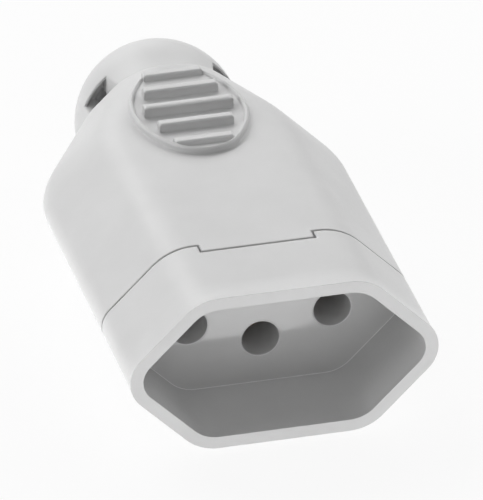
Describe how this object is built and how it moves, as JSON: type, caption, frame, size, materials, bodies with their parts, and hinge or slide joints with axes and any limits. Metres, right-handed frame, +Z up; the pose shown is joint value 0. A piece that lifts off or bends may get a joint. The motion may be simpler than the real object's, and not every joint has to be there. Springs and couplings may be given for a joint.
{
  "type": "female power plug",
  "caption": "Hexagonal light grey cord outlet: round pin holes at the floor of a deep recess, ribbed oval grips, a tapering shoulder and a windowed neck with a domed cord ring.",
  "frame": {"origin": "centre of the bottom of the bounding box, under the grip ribs it lies on", "axes": "+Y from the mouth towards the cord outlet, along the length; +Z up, away from the lower grip; +X to the right, seen from the mouth"},
  "size_m": [0.0404, 0.0758, 0.0236],
  "materials": {
    "shell_plastic": "moulded, fine satin",
    "carrier_plastic": "moulded",
    "contact_brass": "turned",
    "spring_steel": "rolled strip",
    "screw_steel": "zinc plated"
  },
  "bodies": {
    "root": {"front_shell": "shell_plastic", "rear_housing": "shell_plastic", "terminal_carrier": "carrier_plastic", "cord_clamp_bar": "carrier_plastic", "contact_line": "contact_brass", "contact_spring_line": "spring_steel", "terminal_screw_line": "screw_steel", "contact_neutral": "contact_brass", "contact_spring_neutral": "spring_steel", "terminal_screw_neutral": "screw_steel", "contact_earth": "contact_brass", "contact_spring_earth": "spring_steel", "terminal_screw_earth": "screw_steel", "carrier_screw_left": "screw_steel", "cord_clamp_screw_left": "screw_steel", "carrier_screw_right": "screw_steel", "cord_clamp_screw_right": "screw_steel"}
  },
  "joints": []
}
